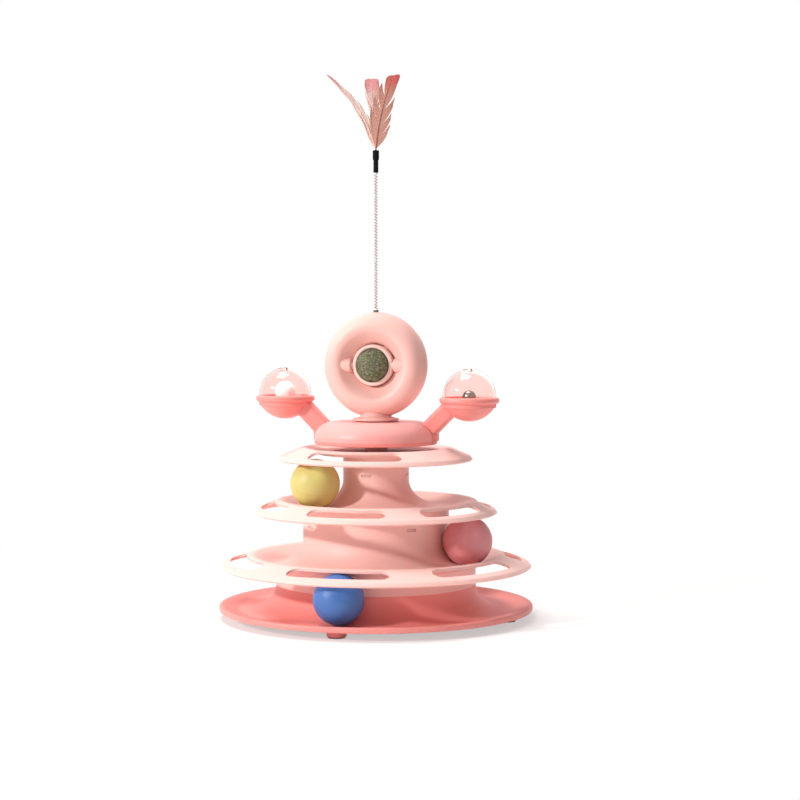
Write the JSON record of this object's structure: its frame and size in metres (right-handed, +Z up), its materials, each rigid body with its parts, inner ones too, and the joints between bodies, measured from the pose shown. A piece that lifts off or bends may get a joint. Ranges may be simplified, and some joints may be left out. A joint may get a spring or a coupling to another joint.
{
  "type": "cat ball track toy",
  "caption": "Stacked ball track tower for cats with slotted brims, a ball in each ring track, a turning head with rattle arms and a catnip ring, and a feather wand on a coil spring.",
  "frame": {"origin": "on the floor, at the foot of the tower's axis", "axes": "+Z up along the tower's axis, -Y towards the front, +X to the right rattle arm"},
  "size_m": [0.248, 0.248, 0.4253],
  "materials": {
    "coral_plastic": "soft satin moulded plastic, coral pink",
    "pink_plastic": "soft satin moulded plastic, pale pink",
    "pad_rubber": "matt rubber",
    "pin_steel": "plain steel",
    "inner_plastic": "dull moulded plastic, mauve in the shade of the dome",
    "clear_plastic": "clear glossy plastic",
    "white_plastic": "smooth white plastic",
    "bell_steel": "bright plated steel",
    "ring_plastic": "soft satin moulded plastic, pale pink",
    "catnip": "pressed dried leaf, rough and speckled",
    "dark_plastic": "dark plastic",
    "spring_wire": "bright spring wire",
    "sleeve_rubber": "matt black sleeve",
    "feather": "dyed feather, dusty pink",
    "blue_plastic": "satin plastic, blue",
    "rose_plastic": "satin plastic, deep rose",
    "yellow_plastic": "satin plastic, yellow"
  },
  "bodies": {
    "tower": {"base_tray": "coral_plastic", "foot_pads": "pad_rubber", "lower_tier": "pink_plastic", "middle_tier": "pink_plastic", "top_tier": "pink_plastic", "spindle": "pin_steel", "thrust_washer": "pin_steel", "retaining_washer": "pin_steel", "retaining_screw": "pin_steel"},
    "head": {"spinner_base": "coral_plastic", "spinner_cover": "coral_plastic", "spinner_screws": "pin_steel", "left_arm": "coral_plastic", "right_arm": "coral_plastic", "arm_screws": "pin_steel", "left_floor": "inner_plastic", "right_floor": "inner_plastic", "left_dome": "clear_plastic", "right_dome": "clear_plastic", "neck": "pink_plastic", "donut_front": "pink_plastic", "donut_rear": "pink_plastic", "donut_screws": "pin_steel", "wand_socket": "dark_plastic"},
    "catnip": {"catnip_ring": "ring_plastic", "catnip_ball": "catnip"},
    "wand": {"wand_spring": "spring_wire", "wand_sleeve": "sleeve_rubber", "front_feather": "feather", "back_feather": "feather", "slim_feather": "feather"},
    "blue": {"blue_ball": "blue_plastic"},
    "rose": {"pink_ball": "rose_plastic"},
    "yellow": {"yellow_ball": "yellow_plastic"},
    "rattle": {"rattle_ball": "white_plastic"},
    "bell": {"rattle_bell": "bell_steel"},
    "pea": {"bell_pea": "pin_steel"}
  },
  "joints": [
    {"name": "head_spin", "type": "hinge", "parent": "tower", "child": "head", "pos_m": [0, 0, 0.14], "axis": [0, 0, 1], "continuous": true},
    {"name": "catnip_spin", "type": "hinge", "parent": "head", "child": "catnip", "pos_m": [0, -0.0075, 0.1992], "axis": [1, 0, 0], "continuous": true},
    {"name": "wand_sway", "type": "hinge", "parent": "head", "child": "wand", "pos_m": [0, 0, 0.2424], "axis": [0, 1, 0], "range_deg": [-40, 40], "stiffness_Nm_per_rad": 0.02, "deforming": ["wand_spring"]},
    {"name": "blue_orbit", "type": "hinge", "parent": "tower", "child": "blue", "pos_m": [0, 0, 0.02725], "axis": [0, 0, 1], "continuous": true},
    {"name": "pink_orbit", "type": "hinge", "parent": "tower", "child": "rose", "pos_m": [0, 0, 0.06325], "axis": [0, 0, 1], "continuous": true},
    {"name": "yellow_orbit", "type": "hinge", "parent": "tower", "child": "yellow", "pos_m": [0, 0, 0.10765], "axis": [0, 0, 1], "continuous": true},
    {"name": "rattle_slide", "type": "slide", "parent": "head", "child": "rattle", "axis": [1, 0, 0], "range_m": [-0.01, 0.01]},
    {"name": "bell_slide", "type": "slide", "parent": "head", "child": "bell", "axis": [1, 0, 0], "range_m": [-0.0125, 0.0125]},
    {"name": "pea_swing", "type": "hinge", "parent": "bell", "child": "pea", "pos_m": [0.076, 0, 0.1747], "axis": [0, 1, 0], "range_deg": [-60, 60]}
  ]
}
